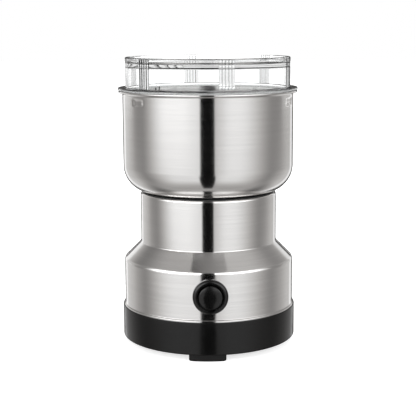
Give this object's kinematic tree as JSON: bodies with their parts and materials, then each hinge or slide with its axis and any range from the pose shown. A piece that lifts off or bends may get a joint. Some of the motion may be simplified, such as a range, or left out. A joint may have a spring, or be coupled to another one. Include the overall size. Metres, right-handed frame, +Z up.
{
  "type": "electric grain mill",
  "caption": "Upright electric grain mill: steel bowl with a four-wing blade and clear twist-on lid, on a necked steel body with a push button and a black base.",
  "frame": {"origin": "on the floor, at the middle of the three feet, under the motor shaft", "axes": "+Z up along the motor shaft, -Y towards the push button, +X to the right seen from the button"},
  "size_m": [0.1062, 0.1092, 0.171],
  "materials": {
    "base_plastic": "satin black moulded plastic",
    "foot_rubber": "matt black rubber",
    "steel_skin": "polished stainless sheet",
    "steel_fasteners": "zinc-plated steel",
    "shaft_steel": "ground steel",
    "blade_steel": "pressed stainless steel",
    "button_plastic": "black moulded plastic, semi-gloss",
    "clear_lid": "clear moulded plastic",
    "seal_silicone": "translucent silicone",
    "gasket_rubber": "black rubber",
    "cast_alloy": "as cast",
    "lamination_steel": "stacked electrical steel, varnished",
    "copper_wire": "enamelled copper",
    "copper_segments": "turned copper",
    "brass_parts": "stamped brass",
    "sintered_bronze": "sintered bronze",
    "carbon": "pressed carbon",
    "holder_plastic": "brown phenolic moulding",
    "fan_plastic": "natural nylon",
    "fibre": "vulcanised fibre",
    "spring_steel": "spring wire",
    "block_plastic": "white moulded plastic",
    "lead_blue": "blue lead sleeve",
    "lead_brown": "brown lead sleeve",
    "lead_black": "black lead sleeve"
  },
  "bodies": {
    "housing": {"base_cup": "base_plastic", "rubber_feet": "foot_rubber", "base_screws": "steel_fasteners", "cord_gland": "foot_rubber", "body_shell": "steel_skin", "bowl_gasket": "gasket_rubber", "bowl": "steel_skin", "bowl_stud_nuts": "steel_fasteners", "bowl_ring_washer": "seal_silicone", "bowl_ring_nut": "steel_fasteners", "button_bezel": "button_plastic", "bezel_nut": "button_plastic", "button_spring": "spring_steel", "switch_housing": "button_plastic", "switch_tabs": "brass_parts", "lower_bracket": "cast_alloy", "upper_bracket": "cast_alloy", "through_bolts": "steel_fasteners", "lower_bush": "sintered_bronze", "upper_bush": "sintered_bronze", "shaft_seal": "gasket_rubber", "stator_core": "lamination_steel", "field_coils": "copper_wire", "brush_holders": "holder_plastic", "carbon_brushes": "carbon", "brush_springs": "spring_steel", "brush_terminals": "brass_parts", "terminal_block": "block_plastic", "terminal_block_screw": "steel_fasteners", "lead_live": "lead_brown", "lead_switched": "lead_black", "lead_neutral": "lead_blue"},
    "rotor": {"rotor_shaft": "shaft_steel", "rotor_core": "lamination_steel", "rotor_windings": "copper_wire", "commutator": "copper_segments", "thrust_washers": "fibre", "cooling_fan": "fan_plastic", "blade_spacer": "steel_fasteners", "blade": "blade_steel", "blade_washer": "steel_fasteners", "blade_cap_nut": "steel_fasteners"},
    "button": {"button_cap": "button_plastic"},
    "seal": {"lid_seal": "seal_silicone"},
    "lid": {"lid": "clear_lid"}
  },
  "joints": [
    {"name": "rotor_spin", "type": "hinge", "parent": "housing", "child": "rotor", "pos_m": [0, 0, 0.06], "axis": [0, 0, 1], "continuous": true},
    {"name": "button_press", "type": "slide", "parent": "housing", "child": "button", "axis": [0, 1, 0], "range_m": [0, 0.002], "stiffness_N_per_m": 600, "springref_m": -0.002, "deforming": ["button_spring"]},
    {"name": "lid_lift", "type": "slide", "parent": "housing", "child": "seal", "axis": [0, 0, 1], "range_m": [0, 0.06]},
    {"name": "lid_turn", "type": "hinge", "parent": "seal", "child": "lid", "pos_m": [0, 0, 0.15], "axis": [0, 0, -1], "range_deg": [0, 25]}
  ]
}
